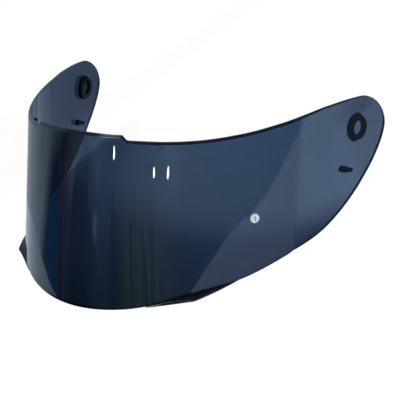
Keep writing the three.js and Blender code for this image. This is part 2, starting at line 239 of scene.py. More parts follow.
# ------------------------------------------------------------------ node helpers
class Nodes:
    """Short calls for building a node tree."""

    def __init__(self, tree):
        self.tree = tree
        tree.nodes.clear()

    def new(self, kind, **settings):
        n = self.tree.nodes.new(kind)
        for k, v in settings.items():
            setattr(n, k, v)
        return n

    def put(self, socket, value):
        if isinstance(value, bpy.types.NodeSocket):
            self.tree.links.new(value, socket)
        elif value is not None:
            socket.default_value = value

    def math(self, operation, a, b=None, c=None, clamp=False):
        n = self.new("ShaderNodeMath", operation=operation, use_clamp=clamp)
        for i, v in enumerate((a, b, c)):
            self.put(n.inputs[i], v)
        return n.outputs[0]

    def noise(self, vector, scale, detail=2.0, roughness=0.5):
        n = self.new("ShaderNodeTexNoise")
        self.put(n.inputs["Vector"], vector)
        n.inputs["Scale"].default_value = scale
        n.inputs["Detail"].default_value = detail
        n.inputs["Roughness"].default_value = roughness
        return n.outputs["Fac"]

    def span(self, value, a, b, c, d):
        n = self.new("ShaderNodeMapRange")
        for name, v in (("Value", value), ("From Min", a), ("From Max", b), ("To Min", c), ("To Max", d)):
            self.put(n.inputs[name], v)
        return n.outputs[0]

    def mix(self, factor, a, b):
        n = self.new("ShaderNodeMix", data_type="RGBA")
        self.put(n.inputs[0], factor)
        self.put(n.inputs[6], a)
        self.put(n.inputs[7], b)
        return n.outputs[2]

    def scaled(self, vector, factors):
        n = self.new("ShaderNodeVectorMath", operation="MULTIPLY")
        self.put(n.inputs[0], vector)
        n.inputs[1].default_value = factors
        return n.outputs[0]

    def position(self):
        return self.new("ShaderNodeNewGeometry").outputs["Position"]


def material(name):
    m = bpy.data.materials.new(name)
    m.use_nodes = True
    return m, Nodes(m.node_tree)


# what one wall of the tinted sheet lets through of red, green and blue
TINT = (0.0345, 0.0600, 0.1150)
IOR = 1.586


def tinted_sheet(name, thicker=1.0):
    """Clear tinted polycarbonate: what passes darkens with the length of the way through, and the rest mirrors."""
    m, n = material(name)
    facing = n.new("ShaderNodeLayerWeight")
    facing.inputs["Blend"].default_value = 0.5
    away = facing.outputs["Facing"]
    power = n.math("POWER", away, 5.0)
    f0 = ((IOR - 1) / (IOR + 1)) ** 2
    mirror = n.math("MULTIPLY_ADD", power, 1 - f0, f0, clamp=True)
    cosine = n.math("SUBTRACT", 1.0, away)
    sine2 = n.math("SUBTRACT", 1.0, n.math("MULTIPLY", cosine, cosine))
    inside = n.math("SQRT", n.math("SUBTRACT", 1.0, n.math("DIVIDE", sine2, IOR * IOR)))
    wall = n.new("ShaderNodeAttribute", attribute_name="wall").outputs["Fac"]
    place = n.position()
    cloud = n.noise(place, 24.0, 3.0)
    uneven = n.span(cloud, 0.3, 0.7, 0.985, 1.015)
    way = n.math("MULTIPLY", n.math("DIVIDE", n.math("MULTIPLY", wall, uneven), inside), thicker)
    colour = n.new("ShaderNodeCombineColor")
    for i, t in enumerate(TINT):
        n.put(colour.inputs[i], n.math("EXPONENT", n.math("MULTIPLY", way, 0.5 * math.log(t))))
    clear = n.new("ShaderNodeBsdfTransparent")
    n.put(clear.inputs["Color"], colour.outputs[0])
    gloss = n.new("ShaderNodeBsdfGlossy", distribution="GGX")
    gloss.inputs["Color"].default_value = (1, 1, 1, 1)
    fine = n.noise(place, 900.0, 2.0)
    n.put(gloss.inputs["Roughness"], n.span(fine, 0.3, 0.7, 0.012, 0.028))
    ripple = n.noise(place, 140.0, 1.0)
    bump = n.new("ShaderNodeBump")
    bump.inputs["Strength"].default_value = 0.05
    bump.inputs["Distance"].default_value = 0.00004
    n.put(bump.inputs["Height"], ripple)
    n.put(gloss.inputs["Normal"], bump.outputs[0])
    mix = n.new("ShaderNodeMixShader")
    n.put(mix.inputs[0], mirror)
    n.put(mix.inputs[1], clear.outputs[0])
    n.put(mix.inputs[2], gloss.outputs[0])
    out = n.new("ShaderNodeOutputMaterial")
    n.put(out.inputs["Surface"], mix.outputs[0])
    return m


def plastic(name, base, other, roughness, scale, bump_strength=0.1, bump_mm=0.02, ior=1.5, coat=0.0,
            subsurface=0.0, rough_span=0.08, clear=0.0, shine=(1.0, 1.0, 1.0), glow=None):
    """Moulded plastic: two close colours in soft clouds, a fine grain in gloss and surface, and with glow a painted
    light on downward-facing rear edges.
    """
    m, n = material(name)
    place = n.position()
    shade = n.noise(place, scale, 3.0)
    p = n.new("ShaderNodeBsdfPrincipled")
    colour = n.mix(n.span(shade, 0.35, 0.65, 0.0, 1.0), (*base, 1), (*other, 1))
    # painted light: the base colour turns paler blue on downward-facing edges towards the arms' rear
    if glow:                                    # light led through the wall to its lower and rear edges on the arms
        facing, spot = n.new("ShaderNodeSeparateXYZ"), n.new("ShaderNodeSeparateXYZ")
        n.put(facing.inputs[0], n.new("ShaderNodeNewGeometry").outputs["Normal"])
        n.put(spot.inputs[0], place)
        colour = n.mix(n.math("MULTIPLY", n.span(facing.outputs["Z"], -0.30, 0.25, 1.0, 0.0),
                              n.span(spot.outputs["Y"], 0.010, 0.045, 0.0, 1.0)), colour, (*glow, 1))
    n.put(p.inputs["Base Color"], colour)
    grain = n.noise(place, 2600.0, 3.0, 0.6)
    n.put(p.inputs["Roughness"], n.span(grain, 0.3, 0.7, roughness - rough_span, roughness + rough_span))
    p.inputs["IOR"].default_value = ior
    p.inputs["Specular Tint"].default_value = (*shine, 1)
    p.inputs["Coat Weight"].default_value = coat
    p.inputs["Coat Roughness"].default_value = 0.1
    if subsurface:
        p.inputs["Subsurface Weight"].default_value = subsurface
        p.inputs["Subsurface Radius"].default_value = (0.6, 0.8, 1.0)
        p.inputs["Subsurface Scale"].default_value = 0.0012
    bump = n.new("ShaderNodeBump")
    bump.inputs["Strength"].default_value = bump_strength
    bump.inputs["Distance"].default_value = bump_mm * MM
    n.put(bump.inputs["Height"], grain)
    n.put(p.inputs["Normal"], bump.outputs[0])
    surface = p.outputs[0]
    if clear:
        through = n.new("ShaderNodeBsdfTransparent")
        through.inputs["Color"].default_value = (0.965, 0.98, 0.99, 1)
        mix = n.new("ShaderNodeMixShader")
        mix.inputs[0].default_value = clear
        n.put(mix.inputs[1], surface)
        n.put(mix.inputs[2], through.outputs[0])
        surface = mix.outputs[0]
    out = n.new("ShaderNodeOutputMaterial")
    n.put(out.inputs["Surface"], surface)
    return m


SHEET = tinted_sheet("smoke_polycarbonate")
# edges of the sheet carry painted light: paler blue on their downward-facing rear parts
EDGE = plastic("smoke_edge", (0.003, 0.006, 0.015), (0.005, 0.010, 0.022), 0.15, 160.0, 0.05, 0.01, 1.45,
               rough_span=0.05, shine=(0.55, 0.75, 1.0), glow=(0.62, 0.74, 0.88))
NYLON = plastic("black_nylon", (0.0025, 0.0035, 0.006), (0.004, 0.005, 0.008), 0.50, 300.0, 0.25, 0.02, 1.22)
GLOSS = plastic("gloss_black", (0.002, 0.003, 0.006), (0.004, 0.005, 0.009), 0.14, 300.0, 0.06, 0.01, 1.45,
                rough_span=0.04, shine=(0.6, 0.8, 1.0))
CLEAR = plastic("clear_nylon", (0.50, 0.57, 0.63), (0.60, 0.67, 0.73), 0.30, 900.0, 0.12, 0.02, 1.53,
                subsurface=0.35)
STUD = plastic("clear_nylon_inner", (0.50, 0.57, 0.63), (0.60, 0.67, 0.73), 0.22, 900.0, 0.08, 0.02, 1.45,
               clear=0.93)
# painted shade: a darker clear nylon for the walls and floor of the pin's slot
SLOT_SHADE = plastic("clear_nylon_slot_painted_shade", (0.16, 0.19, 0.22), (0.22, 0.25, 0.28), 0.40, 900.0, 0.12, 0.02, 1.53)
RUBBER = plastic("silicone", (0.20, 0.24, 0.28), (0.26, 0.30, 0.34), 0.55, 900.0, 0.2, 0.02, 1.42)

# ------------------------------------------------------------------ shell
ROWS = 34                      # rows of faces up the skin
FILLET = 3                     # faces round each small edge


def runs(*spans):
    """Stations from (start, stop, step) spans, each stop left to the next start."""
    out = []
    for a, b, step in spans:
        count = max(1, int(round((b - a) / step)))
        out += [a + (b - a) * i / count for i in range(count)]
    out.append(spans[-1][1])
    return out


STATIONS = runs((0, 42, 2), (42, 48, 0.5), (48, 130, 2), (130, 136, 0.4), (136, 220, 2), (220, 228, 1),
                (228, 232.0, 0.34), (232.0, TIP_S, 0.1))


def arm_shift(u):
    if u < ARM_LINE_S:
        return smooth((u - 50) / (ARM_LINE_S - 50))
    return 1 - smooth((u - ARM_LINE_S) / (226 - ARM_LINE_S))


def s_at(u, v):
    return u + ARM_LINE_SLANT * arm_shift(u) * v


def recess(u):
    return ARM_RECESS * smooth((u - (ARM_LINE_S - 0.5)) / 1.0)


def fillet(before, corner, after, radius):
    """Points round a corner of the section, with the direction of the surface at each."""
    before, corner, after = (np.array(p, float) for p in (before, corner, after))
    a, b = unit(before - corner), unit(after - corner)
    half = math.acos(max(-1, min(1, float(a @ b)))) / 2
    reach = radius / math.tan(half)
    limit = 0.45 * min(np.linalg.norm(before - corner), np.linalg.norm(after - corner))
    if reach > limit:
        radius *= limit / reach
        reach = limit
    centre = corner + unit(a + b) * radius / math.sin(half)
    p, q = corner + a * reach - centre, corner + b * reach - centre
    turn = math.pi - 2 * half
    sign = 1.0 if p[0] * q[1] - p[1] * q[0] > 0 else -1.0
    out = []
    for i in range(FILLET + 1):
        t = sign * turn * i / FILLET
        r = np.array([p[0] * math.cos(t) - p[1] * math.sin(t), p[0] * math.sin(t) + p[1] * math.cos(t)])
        out.append((centre + r, unit(r)))
    return out


def section(u):
    """Closed section at station u: (height share, depth, direction as (up, in), row kind)."""
    outer = recess(u)
    low, top = low_edge(s_at(u, 0)), top_edge(s_at(u, 1))
    height = top - low
    steep_top = abs(top_edge(s_at(min(u + 0.15, TIP_S), 1)) - top_edge(s_at(u - 0.15, 1))) / 0.3
    steep_low = abs(low_edge(s_at(min(u + 0.15, TIP_S), 0)) - low_edge(s_at(u - 0.15, 0))) / 0.3
    near_tip = smooth((u - 215) / 8)
    top_scale = 1 + near_tip * (math.sqrt(1 + steep_top ** 2) - 1)
    low_scale = 1 + near_tip * (math.sqrt(1 + steep_low ** 2) - 1)
    bevel = TOP_BEVEL + (ARM_BEVEL - TOP_BEVEL) * smooth((u - 125) / 30)
    bevel_h = min(bevel * top_scale, 0.4 * height)
    low_h = min(LOW_BEVEL * low_scale, 0.3 * height)
    drop = min(bevel, THICKNESS - outer - 0.5)
    corners = [(low_h, outer), (height - bevel_h, outer), (height, outer + drop), (height, THICKNESS),
               (0.0, THICKNESS), (0.0, outer + LOW_BEVEL)]
    radii = [0.18, 0.3, 0.22, 0.22, 0.25, 0.18]
    bends = []
    for i, c in enumerate(corners):
        bends.append(fillet(corners[i - 1], c, corners[(i + 1) % 6], radii[i]))
    out = []
    for p, d in bends[0]:
        out.append((p[0] / height, p[1], d, "edge"))
    start, stop = bends[0][-1][0], bends[1][0][0]
    for j in range(1, ROWS):
        h = start[0] + (stop[0] - start[0]) * j / ROWS
        out.append((h / height, outer, (0.0, -1.0), "outer"))
    for i in (1, 2, 3):
        for p, d in bends[i]:
            out.append((p[0] / height, p[1], d, "edge"))
    start, stop = bends[3][-1][0], bends[4][0][0]
    for j in range(1, ROWS):
        h = start[0] + (stop[0] - start[0]) * j / ROWS
        out.append((h / height, THICKNESS, (0.0, 1.0), "inner"))
    for i in (4, 5):
        for p, d in bends[i]:
            out.append((p[0] / height, p[1], d, "edge"))
    return out, low, height, outer


def shell():
    make = Builder()
    signed = [-s for s in STATIONS[:0:-1]] + STATIONS
    sections = {abs(s): section(abs(s)) for s in signed}
    count = len(sections[0.0][0])
    corner = FILLET + 1
    outer_rows = list(range(corner - 1, corner + ROWS))                       # includes both ends
    top_first = corner + ROWS - 1
    inner_first = top_first + 3 * corner - 1
    inner_rows = list(range(inner_first, inner_first + ROWS + 1))
    place = np.zeros((len(signed), count, 3))
    where = np.zeros((len(signed), count, 3))                                 # s, z, depth
    way = np.zeros((len(signed), count, 2))
    for i, su in enumerate(signed):
        u, sign = abs(su), (-1.0 if su < 0 else 1.0)
        ring, low, height, outer = sections[u]
        v = np.array([r[0] for r in ring])
        depth = np.array([r[1] for r in ring])
        s = sign * (u + ARM_LINE_SLANT * arm_shift(u) * v)
        z = low + height * v
        place[i] = skin(s, z, depth)
        where[i] = np.stack([s, z, depth], -1)
        way[i] = np.array([r[2] for r in ring])
    # normals: the outer skin from its own tangents, so that the arm's step shades; the rest from the section
    out = skin_out(where[..., 0], where[..., 1], where[..., 2])
    tangent = np.gradient(place, axis=0)
    at_s, at_z, at_d = where[..., 0], where[..., 1], where[..., 2]
    lift = skin(at_s, at_z + 0.5, at_d) - skin(at_s, at_z - 0.5, at_d)
    inward = skin(at_s, at_z, at_d + 0.5) - skin(at_s, at_z, at_d - 0.5)
    normal = np.zeros_like(place)
    for j in range(count):
        t = unit(tangent[:, j])
        up, deep = way[:, j, 0:1], way[:, j, 1:2]
        rough = np.cross(out[:, j], t) * up - out[:, j] * deep
        true = unit(np.cross(inward[:, j] * up - lift[:, j] * deep, t))        # square to the leaning section
        normal[:, j] = true * np.sign((true * rough).sum(-1, keepdims=True))
    span = place[:, outer_rows]
    along = np.gradient(span, axis=0)
    rise = np.gradient(span, axis=1)
    face_out = unit(np.cross(along, rise))
    for k, j in enumerate(outer_rows):
        if 0 < k < len(outer_rows) - 1:
            normal[:, j] = face_out[:, k]
    ids = np.zeros((len(signed), count), int)
    for i, su in enumerate(signed):
        ring, low, height, outer = sections[abs(su)]
        for j in range(count):
            ids[i, j] = make.add(place[i, j], 1 - (outer + 0.205 * outer / ARM_RECESS) / THICKNESS)
    is_skin = np.zeros(count, bool)
    for rows in (outer_rows, inner_rows):
        for j in rows[:-1]:
            is_skin[j] = True

    # the faces round each pin hole are left out and joined to the hole by rings of their own
    blocks = []
    for side in (1, -1):
        centre = np.array([side * PIN["s"], PIN["z"]])
        for rows, face in ((outer_rows, "outer"), (inner_rows, "inner")):
            near = [i for i in range(len(signed) - 1)
                    if abs(where[i, rows[ROWS // 2], 0] - centre[0]) < 9.5
                    and abs(where[i + 1, rows[ROWS // 2], 0] - centre[0]) < 9.5]
            levels = [k for k in range(ROWS)
                      if abs(where[near[0], rows[k], 1] - centre[1]) < 8.5
                      and abs(where[near[0], rows[k + 1], 1] - centre[1]) < 8.5]
            blocks.append((side, face, near[0], near[-1] + 1, rows[levels[0]], rows[levels[-1] + 1]))

    def blocked(i, j):
        return any(a <= i < b and c <= j < d for _, _, a, b, c, d in blocks)

    for i in range(len(signed) - 1):
        for j in range(count):
            k = (j + 1) % count
            if blocked(i, j):
                continue
            quad = [(i, j), (i + 1, j), (i + 1, k), (i, k)]
            make.face([ids[q] for q in quad], [normal[q] for q in quad], 0 if is_skin[j] else 1)

    # ends of the arms
    for i, direction in ((0, -1.0), (len(signed) - 1, 1.0)):
        ring = [ids[i, j] for j in range(count)]
        mate = place[i] - place[i + (1 if i == 0 else -1)]
        n = unit(mate.mean(0))
        make.face(ring if direction < 0 else ring[::-1], [n] * count, 1)

    origin, fx, fy, fz = skin_frame(PIN["s"], PIN["z"])
    rims = {}
    for side, face, a, b, c, d in blocks:
        flip = np.array([float(side), 1.0, 1.0])
        depth = 0.0 if face == "outer" else THICKNESS
        loop = ([(i, c) for i in range(a, b)] + [(b, j) for j in range(c, d)]
                + [(i, d) for i in range(b, a, -1)] + [(a, j) for j in range(d, c, -1)])
        flat = []
        for q in loop:
            p = place[q] * flip - origin
            flat.append((float(p @ fx), float(p @ fy)))
        # inverse of the local map from (s, z) to the frame's plane
        js = (skin(PIN["s"] + 0.5, PIN["z"], depth) - skin(PIN["s"] - 0.5, PIN["z"], depth))
        jz = (skin(PIN["s"], PIN["z"] + 0.5, depth) - skin(PIN["s"], PIN["z"] - 0.5, depth))
        jac = np.array([[js @ fx, jz @ fx], [js @ fy, jz @ fy]])
        back = np.linalg.inv(jac)
        base = skin(PIN["s"], PIN["z"], depth)
        shift = back @ np.array([(base - origin) @ fx, (base - origin) @ fy])
        rings = 5
        previous = [(ids[q], normal[q]) for q in loop]
        for step in range(1, rings + 1):
            t = (step / rings) ** 0.8
            current = []
            for (x, y), q in zip(flat, loop):
                r = math.hypot(x, y)
                tx, ty = x / r * PIN["hole"], y / r * PIN["hole"]
                px, py = x + (tx - x) * t, y + (ty - y) * t
                s0, z0 = np.array([PIN["s"], PIN["z"]]) + back @ np.array([px, py]) - shift
                point = skin(s0, z0, depth) * flip
                n = skin_out(s0, z0, depth) * flip
                if face == "inner":
                    n = -n
                current.append((make.add(point), n))
            for k in range(len(loop)):
                m = (k + 1) % len(loop)
                quad = [previous[k], previous[m], current[m], current[k]]
                make.face([p[0] for p in quad], [p[1] for p in quad], 0)
            previous = current
        rims[(side, face)] = (previous, loop, (a, b, c, d))
    for side in (1, -1):
        outer_rim, loop_o, _ = rims[(side, "outer")]
        inner_rim, loop_i, _ = rims[(side, "inner")]
        flip = np.array([float(side), 1.0, 1.0])
        def angle(pid):
            p = np.array(make.points[pid]) * flip - origin
            return math.atan2(p @ fy, p @ fx)
        o = sorted(((angle(p[0]), p[0]) for p in outer_rim))
        w = sorted(((angle(p[0]), p[0]) for p in inner_rim))
        # walks both rims together, so they may have different counts
        i = j = 0
        while i < len(o) or j < len(w):
            a0, a1 = o[i % len(o)], o[(i + 1) % len(o)]
            b0, b1 = w[j % len(w)], w[(j + 1) % len(w)]
            next_o = a1[0] + (2 * math.pi if i + 1 >= len(o) else 0)
            next_w = b1[0] + (2 * math.pi if j + 1 >= len(w) else 0)
            if i < len(o) and (j >= len(w) or next_o <= next_w):
                tri = [a0[1], a1[1], b0[1]]
                i += 1
            else:
                tri = [a0[1], b1[1], b0[1]]
                j += 1
            ns = []
            for pid in tri:
                p = np.array(make.points[pid]) * flip - origin
                r = -(fx * (p @ fx) + fy * (p @ fy))
                ns.append(unit(r) * flip)
            make.face(tri if side > 0 else tri[::-1], ns if side > 0 else ns[::-1], 1)
    return make


shell_make = shell()
shell_mesh = shell_make.mesh("shell_surface")


shell_piece = show("shell_surface", shell_mesh, "shield", ["shield_shell"], [SHEET, EDGE])

# ------------------------------------------------------------------ small pieces
def joined(loops, closed=False):
    """Mesh through loops of points (mm): caps at both ends, or the last loop joined to the first."""
    bm = bmesh.new()
    rows = [[bm.verts.new([c * MM for c in p]) for p in loop] for loop in loops]
    count = len(rows[0])
    pairs = list(zip(rows, rows[1:])) + ([(rows[-1], rows[0])] if closed else [])
    for a, b in pairs:
        for i in range(count):
            k = (i + 1) % count
            bm.faces.new((a[i], a[k], b[k], b[i]))
    if not closed:
        bm.faces.new(rows[0][::-1])
        bm.faces.new(rows[-1])
    bmesh.ops.recalc_face_normals(bm, faces=bm.faces)
    mesh = bpy.data.meshes.new("draft")
    bm.to_mesh(mesh)
    bm.free()
    return mesh


def finished(mesh, edge_mm=0.0, angle=28.0):
    """Rounds the sharp edges and shades the result smoothly."""
    draft = bpy.data.objects.new("draft", mesh)
    bpy.context.scene.collection.objects.link(draft)
    if edge_mm:
        bevel = draft.modifiers.new("bevel", "BEVEL")
        bevel.width = edge_mm * MM
        bevel.segments = 3
        bevel.limit_method = "ANGLE"
        bevel.angle_limit = math.radians(angle)
        bevel.use_clamp_overlap = True
    mesh.polygons.foreach_set("use_smooth", [True] * len(mesh.polygons))
    weighted = draft.modifiers.new("weighted", "WEIGHTED_NORMAL")
    weighted.mode = "FACE_AREA"
    weighted.weight = 80
    graph = bpy.context.evaluated_depsgraph_get()
    result = bpy.data.meshes.new_from_object(draft.evaluated_get(graph))
    bpy.data.objects.remove(draft)
    result.polygons.foreach_set("use_smooth", [True] * len(result.polygons))
    return result


def pair(name, node, mesh, centre, materials, bodies=("shield", "shield")):
    """Sets a piece drawn for the wearer's left into its place on both sides."""
    if centre is None:
        place = Matrix.Identity(4)
    else:
        origin, along, rise, out = skin_frame(*centre)
        place = Matrix((
            (along[0], rise[0], out[0], origin[0] * MM),
            (along[1], rise[1], out[1], origin[1] * MM),
            (along[2], rise[2], out[2], origin[2] * MM),
            (0, 0, 0, 1)))
    for side, flip, body in (("left", 1, bodies[0]), ("right", -1, bodies[1])):
        copy = mesh.copy()
        copy.name = f"{name}_{side}"
        copy.transform(Matrix.Diagonal((flip, 1, 1, 1)) @ place)
        if flip < 0:
            copy.flip_normals()
        copy.update()
        show(f"{name}_{side}", copy, body, [f"{node}_{side}"], materials)


def circle(radius, height, count=72, y=0.0):
    return [(radius * math.cos(2 * math.pi * i / count), y + radius * math.sin(2 * math.pi * i / count), height)
            for i in range(count)]


def ring_mesh():
    count = 120

    def outline(height):
        points = []
        for i in range(count):
            t = 2 * math.pi * i / count
            degrees = math.degrees(t)
            up = smooth((degrees - RING["start"] + 3) / 6) - smooth((degrees - RING["end"] + 3) / 6)
            r = RING["small"] + (RING["big"] - RING["small"]) * up
            points.append((r * math.cos(t), r * math.sin(t), height))
        return points
    face = -(THICKNESS + RING["gap"])
    back = face - RING["depth"]
    return finished(joined([outline(back), outline(face), circle(RING["bore"], face, count),
                            circle(RING["bore"], back, count)], closed=True), 0.35, 50)


def lug_mesh():
    length, a, b = LUG["length"], LUG["thick"] / 2, LUG["thin"] / 2
    tilt = math.radians(LUG["tilt"])
    outline = []
    steps = 16
    for i in range(steps + 1):
        t = math.pi / 2 + math.pi * i / steps
        outline.append((-length / 2 + a + a * math.cos(t), a * math.sin(t)))
    for i in range(1, 6):
        outline.append((-length / 8 + length / 8 * i / 6, -a + (a - b) * smooth(i / 6)))
    for i in range(steps + 1):
        t = -math.pi / 2 + math.pi * i / steps
        outline.append((length / 2 - b + b * math.cos(t), b * math.sin(t)))
    for i in range(1, 6):
        outline.append((-length / 8 * i / 6, b + (a - b) * smooth(i / 6)))
    turned = [(x * math.cos(tilt) - y * math.sin(tilt), x * math.sin(tilt) + y * math.cos(tilt)) for x, y in outline]
    face = -(THICKNESS + LUG["gap"])
    return finished(joined([[(x, y, face - LUG["depth"]) for x, y in turned], [(x, y, face) for x, y in turned]]),
                    0.4, 50)


def tab_mesh():
    loops = []
    for s in runs((42, 63, 0.75), (63, 70, 0.4), (70, 94.5, 0.75)):
        low, reach = low_edge(s), tab_reach(s)
        rim = low - TAB["gap"] * (0 if reach > TAB["gap"] else 1) - TAB["drop"] * max(0, reach) / 5
        step = max(reach, -1.2)
        wide = step > TAB["gap"] + 0.15
        root = TAB["gap"] if wide else step - 0.15
        corners = [
            (TAB["floor"], TAB["inner"]),
            (low - TAB["gap"], TAB["inner"]),
            (low - TAB["gap"], -root),
            (low + 0.02 if wide else low - TAB["gap"] - 0.02, -root - 0.02),
            (rim if wide else low - TAB["gap"] - 0.12, -step),
            (TAB["floor"], -(step - TAB["undercut"] * max(0, step) / 5))]
        radii = [0.3, 0.25, 0.1, 0.1, 0.45, 0.3]
        loop = []
        for i, c in enumerate(corners):
            for p, _ in fillet(corners[i - 1], c, corners[(i + 1) % 6], radii[i]):
                loop.append(tuple(skin(s, p[0], p[1])))
        loops.append(loop)
    return finished(joined(loops))


def head_mesh():
    count = 72
    top, edge = PIN["head_top"], 0.35

    def slot(height):
        points = []
        half, end = PIN["slot_wide"] / 2, PIN["slot_long"] / 2
        for i in range(count):
            t = 2 * math.pi * i / count
            x, y = math.cos(t), math.sin(t)
            k = 1 / max(abs(x) / half, abs(y) / end)
            points.append((x * k, y * k, height))
        return points
    loops = [slot(top - PIN["slot_deep"]), slot(top), circle(PIN["head"] - edge, top)]
    for i in range(1, 5):
        t = math.pi / 2 * i / 4
        loops.append(circle(PIN["head"] - edge + edge * math.sin(t), top - edge + edge * math.cos(t)))
    loops += [circle(PIN["head"], PIN["head_low"]), circle(PIN["neck"], PIN["head_low"]),
              circle(PIN["neck"], PIN["neck_low"]), circle(PIN["socket"], PIN["neck_low"]),
              circle(PIN["socket"], PIN["socket_top"])]
    mesh = finished(joined(loops), 0.1, 40)
    # the slot's walls and floor take a darker material, painted shade for the recess
    half, end = PIN["slot_wide"] / 2 + 0.05, PIN["slot_long"] / 2 + 0.05
    for face in mesh.polygons:
        x, y, z = (c / MM for c in face.center)
        inside = abs(x) < half and abs(y) < end and top - PIN["slot_deep"] - 0.05 < z < top - 0.06
        face.material_index = 1 if inside else 0
    return mesh


def seal_mesh():
    return finished(joined([circle(PIN["seal_outer"], PIN["seal_low"]), circle(PIN["seal_outer"], PIN["seal_top"]),
                            circle(PIN["seal_inner"], PIN["seal_top"]), circle(PIN["seal_inner"], PIN["seal_low"])],
                           closed=True), 0.12, 40)


def stud_mesh():
    e = PIN["eccentric"]
    return finished(joined([
        circle(PIN["spigot"], PIN["spigot_top"]), circle(PIN["spigot"], PIN["flange_top"]),
        circle(PIN["flange"], PIN["flange_top"]), circle(PIN["flange"], PIN["flange_low"]),
        circle(PIN["collar"], PIN["flange_low"], y=e), circle(PIN["collar"], PIN["collar_low"], y=e),
        circle(PIN["cap"], PIN["collar_low"], y=e), circle(PIN["cap"], PIN["cap_low"], y=e)]), 0.15, 40)


pair("ring", "pivot_ring", ring_mesh(), (RING["s"], RING["z"]), [NYLON])
pair("lug", "stop_lug", lug_mesh(), (LUG["s"], LUG["z"]), [NYLON])
pair("tab", "lift_tab", tab_mesh(), None, [GLOSS])
PINS = ("lens_pin_left", "lens_pin_right")
pair("pin_head", "lens_pin_head", head_mesh(), (PIN["s"], PIN["z"]), [CLEAR, SLOT_SHADE], PINS)
pair("pin_seal", "lens_pin_seal", seal_mesh(), (PIN["s"], PIN["z"]), [RUBBER])
pair("pin_stud", "lens_pin_stud", stud_mesh(), (PIN["s"], PIN["z"]), [STUD], PINS)

# ------------------------------------------------------------------ stage and light
def disc(name, radius, height):
    mesh = bpy.data.meshes.new(name)
    bm = bmesh.new()
    bmesh.ops.create_circle(bm, cap_ends=True, radius=radius, segments=96)
    bm.to_mesh(mesh)
    bm.free()
    o = bpy.data.objects.new(name, mesh)
    o.location = (0, 0, height)
    bpy.context.scene.collection.objects.link(o)
    return o


# pale floor: bright paper, seen softly at first hand and fully through the tinted sheet; its colour holds painted
# shadows and a painted pool of light
floor = disc("floor", 4.0, -0.0002)
paper, n = material("floor")
path = n.new("ShaderNodeLightPath")
first_hand = n.math("MULTIPLY", path.outputs["Is Camera Ray"],
                    n.math("LESS_THAN", path.outputs["Transparent Depth"], 0.5))
matt = n.new("ShaderNodeBsdfDiffuse")
where_x = n.new("ShaderNodeSeparateXYZ")
n.put(where_x.inputs[0], n.position())
# painted shadow: the floor darkens and warms at x below -110 mm, behind the far arm
near_left = n.mix(n.span(where_x.outputs["X"], -0.16, -0.11, 1.0, 0.0), (0.82, 0.82, 0.82, 1), (0.60, 0.56, 0.50, 1))
# painted shadow: mask of a much darker patch at x below -140 mm towards the back, behind the far arm
far_left = n.math("MULTIPLY", n.span(where_x.outputs["X"], -0.18, -0.14, 1.0, 0.0),
                  n.span(where_x.outputs["Y"], 0.05, 0.10, 0.0, 1.0))
# painted light: towards the near arm, from x 50 to 95 mm on, the floor turns brighter than white
inner = n.mix(n.span(where_x.outputs["X"], 0.050, 0.095, 0.0, 1.0), near_left, (1.06, 1.06, 1.06, 1))
# painted shade: slightly darker and warmer towards the back right
along = n.math("MULTIPLY_ADD", where_x.outputs["Y"], 0.5, where_x.outputs["X"])
inner = n.mix(n.math("MULTIPLY", n.span(along, 0.136, 0.150, 0.0, 1.0),
                     n.span(where_x.outputs["Y"], 0.090, 0.115, 0.0, 1.0)), inner, (0.90, 0.87, 0.84, 1))
# painted shade: a darker strip at x 50 to 65 mm from y 160 mm back
inner = n.mix(n.math("MULTIPLY", n.math("MULTIPLY", n.span(where_x.outputs["X"], 0.0500, 0.0505, 0.0, 1.0),
                                        n.span(where_x.outputs["X"], 0.0650, 0.0655, 1.0, 0.0)),
                     n.span(where_x.outputs["Y"], 0.160, 0.166, 0.0, 1.0)), inner, (0.74, 0.73, 0.72, 1))
# painted shadow: behind the far arm the colour drops to a quarter
n.put(matt.inputs["Color"], n.mix(far_left, inner, (0.25, 0.245, 0.24, 1)))
lit = n.new("ShaderNodeEmission")
lit.inputs["Color"].default_value = (1, 1, 1, 1)
lit.inputs["Strength"].default_value = 1.02
mix = n.new("ShaderNodeMixShader")
# at first hand the emission share grows over the painted shadow behind the far arm, so it stays white
n.put(mix.inputs[0], n.math("MULTIPLY", first_hand, n.math("MULTIPLY_ADD", far_left, 0.12, 0.86)))
n.put(mix.inputs[1], matt.outputs[0])
n.put(mix.inputs[2], lit.outputs[0])
out = n.new("ShaderNodeOutputMaterial")
n.put(out.inputs["Surface"], mix.outputs[0])
floor.data.materials.append(paper)
floor.visible_glossy = False

# white boards lying on the floor, seen only as reflections in the sheet
def board(name, outline, colour, drop):
    mesh = bpy.data.meshes.new(name)
    mesh.from_pydata([(x, y, 0.0) for x, y in outline], [], [tuple(range(len(outline)))])
    o = bpy.data.objects.new(name, mesh)
    o.location = (0, 0, drop)
    bpy.context.scene.collection.objects.link(o)
    white, n = material(name)
    glow = n.new("ShaderNodeEmission")
    uneven = n.noise(n.position(), 6.0, 2.0)
    n.put(glow.inputs["Color"], n.mix(n.span(uneven, 0.3, 0.7, 0.0, 1.0), (*[c * 0.95 for c in colour], 1),
                                      (*[c * 1.05 for c in colour], 1)))
    out = n.new("ShaderNodeOutputMaterial")
    n.put(out.inputs["Surface"], glow.outputs[0])
    mesh.materials.append(white)
    for ray in ("camera", "diffuse", "transmission", "volume_scatter", "shadow"):
        setattr(o, f"visible_{ray}", False)


